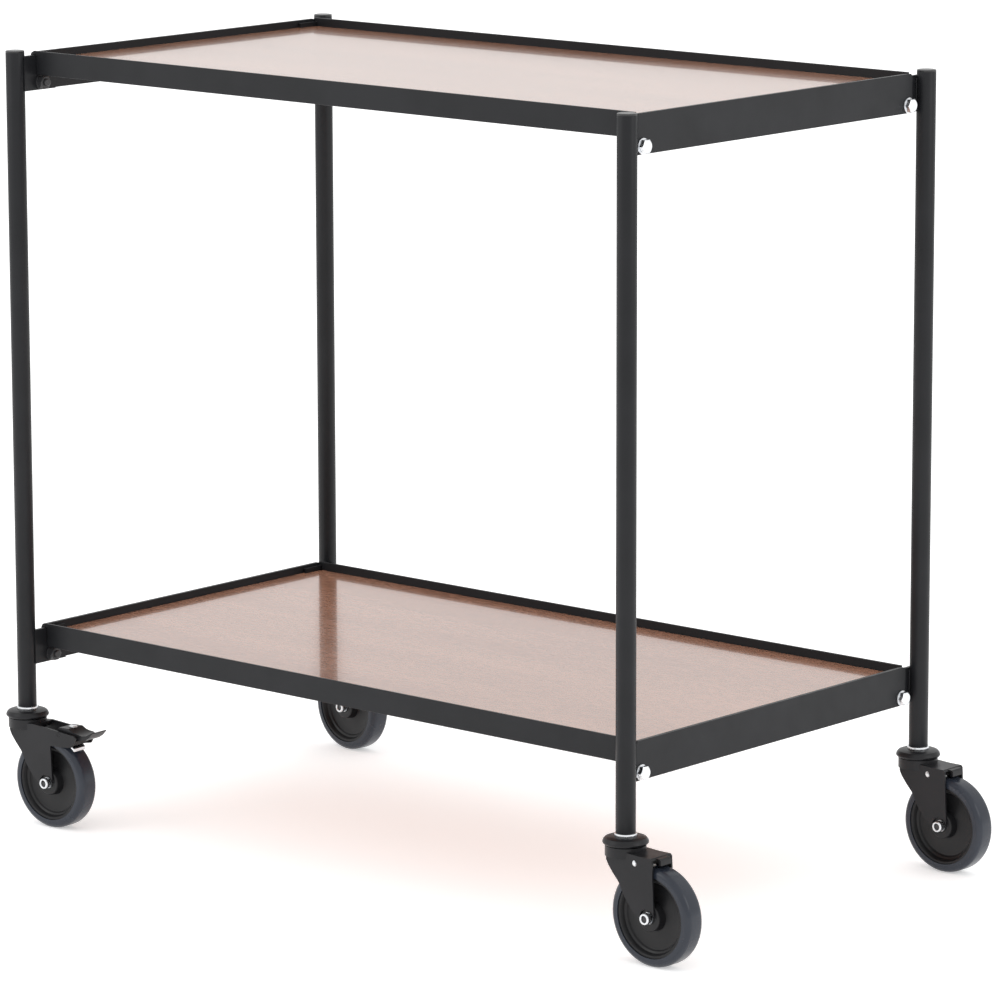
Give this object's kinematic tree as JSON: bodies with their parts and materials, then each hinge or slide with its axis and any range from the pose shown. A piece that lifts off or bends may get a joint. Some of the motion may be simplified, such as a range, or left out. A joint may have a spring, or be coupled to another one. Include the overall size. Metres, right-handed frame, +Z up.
{
  "type": "rolling utility cart",
  "caption": "Rolling utility cart: wooden tray boards in welded angle frames, bolted to lugs on tube posts, standing on swivel castors, some with pedal brakes.",
  "frame": {"origin": "on the floor, at the middle of the cart's bounding box", "axes": "+X along the long side, towards the end that the castors trail to (the brakes are at the -X end); +Y across, from the front to the back; +Z up"},
  "size_m": [0.9496, 0.52, 0.8315],
  "materials": {
    "frame_paint": "satin charcoal powder coat",
    "cap_plastic": "satin black moulded",
    "tray_wood": "semi-gloss lacquered mahogany veneer",
    "zinc": "bright zinc plate",
    "dark_steel": "black-finished steel",
    "castor_paint": "satin black",
    "wheel_plastic": "moulded black",
    "tyre_rubber": "smooth blue-grey rubber"
  },
  "bodies": {
    "root": {"post_front_left": "frame_paint", "post_front_right": "frame_paint", "post_back_left": "frame_paint", "post_back_right": "frame_paint", "post_caps": "cap_plastic", "stem_sockets": "zinc", "upper_rail_front": "frame_paint", "upper_rail_back": "frame_paint", "upper_bar_left": "frame_paint", "upper_bar_right": "frame_paint", "upper_board": "tray_wood", "lower_rail_front": "frame_paint", "lower_rail_back": "frame_paint", "lower_bar_left": "frame_paint", "lower_bar_right": "frame_paint", "lower_board": "tray_wood", "post_lugs": "frame_paint", "end_ledges": "frame_paint", "tray_bolts": "zinc", "tray_washers": "zinc", "tray_nuts": "dark_steel", "castor_stems": "zinc", "castor_balls": "zinc", "castor_collar_front_left": "castor_paint", "castor_collar_front_right": "castor_paint", "castor_collar_back_left": "castor_paint", "castor_collar_back_right": "castor_paint"},
    "fork_front_left": {"castor_fork_front_left": "castor_paint", "castor_axle_bolt_front_left": "zinc", "castor_axle_nut_front_left": "zinc", "castor_axle_sleeve_front_left": "zinc", "brake_pin_front_left": "castor_paint"},
    "wheel_front_left": {"castor_rim_front_left": "wheel_plastic", "castor_tyre_front_left": "tyre_rubber"},
    "brake_front_left": {"brake_pedal_front_left": "castor_paint", "brake_shoe_front_left": "zinc", "brake_screw_front_left": "zinc"},
    "fork_front_right": {"castor_fork_front_right": "castor_paint", "castor_axle_bolt_front_right": "zinc", "castor_axle_nut_front_right": "zinc", "castor_axle_sleeve_front_right": "zinc"},
    "wheel_front_right": {"castor_rim_front_right": "wheel_plastic", "castor_tyre_front_right": "tyre_rubber"},
    "fork_back_left": {"castor_fork_back_left": "castor_paint", "castor_axle_bolt_back_left": "zinc", "castor_axle_nut_back_left": "zinc", "castor_axle_sleeve_back_left": "zinc", "brake_pin_back_left": "castor_paint"},
    "wheel_back_left": {"castor_rim_back_left": "wheel_plastic", "castor_tyre_back_left": "tyre_rubber"},
    "brake_back_left": {"brake_pedal_back_left": "castor_paint", "brake_shoe_back_left": "zinc", "brake_screw_back_left": "zinc"},
    "fork_back_right": {"castor_fork_back_right": "castor_paint", "castor_axle_bolt_back_right": "zinc", "castor_axle_nut_back_right": "zinc", "castor_axle_sleeve_back_right": "zinc"},
    "wheel_back_right": {"castor_rim_back_right": "wheel_plastic", "castor_tyre_back_right": "tyre_rubber"}
  },
  "joints": [
    {"name": "swivel_front_left", "type": "hinge", "parent": "root", "child": "fork_front_left", "pos_m": [-0.4518, -0.237, 0.118], "axis": [0, 0, 1], "continuous": true},
    {"name": "roll_front_left", "type": "hinge", "parent": "fork_front_left", "child": "wheel_front_left", "pos_m": [-0.41132, -0.23559, 0.05], "axis": [-0.0349, 0.9994, 0], "continuous": true},
    {"name": "pedal_front_left", "type": "hinge", "parent": "fork_front_left", "child": "brake_front_left", "pos_m": [-0.39183, -0.23491, 0.1058], "axis": [-0.0349, 0.9994, 0], "range_deg": [0, 4.5]},
    {"name": "swivel_front_right", "type": "hinge", "parent": "root", "child": "fork_front_right", "pos_m": [0.3842, -0.237, 0.118], "axis": [0, 0, 1], "continuous": true},
    {"name": "roll_front_right", "type": "hinge", "parent": "fork_front_right", "child": "wheel_front_right", "pos_m": [0.4247, -0.23771, 0.05], "axis": [0.0175, 0.9998, 0], "continuous": true},
    {"name": "swivel_back_left", "type": "hinge", "parent": "root", "child": "fork_back_left", "pos_m": [-0.4518, 0.237, 0.118], "axis": [0, 0, 1], "continuous": true},
    {"name": "roll_back_left", "type": "hinge", "parent": "fork_back_left", "child": "wheel_back_left", "pos_m": [-0.41152, 0.23277, 0.05], "axis": [0.1045, 0.9945, 0], "continuous": true},
    {"name": "pedal_back_left", "type": "hinge", "parent": "fork_back_left", "child": "brake_back_left", "pos_m": [-0.39213, 0.23073, 0.1058], "axis": [0.1045, 0.9945, 0], "range_deg": [0, 4.5]},
    {"name": "swivel_back_right", "type": "hinge", "parent": "root", "child": "fork_back_right", "pos_m": [0.3842, 0.237, 0.118], "axis": [0, 0, 1], "continuous": true},
    {"name": "roll_back_right", "type": "hinge", "parent": "fork_back_right", "child": "wheel_back_right", "pos_m": [0.4247, 0.23629, 0.05], "axis": [0.0175, 0.9998, 0], "continuous": true}
  ]
}
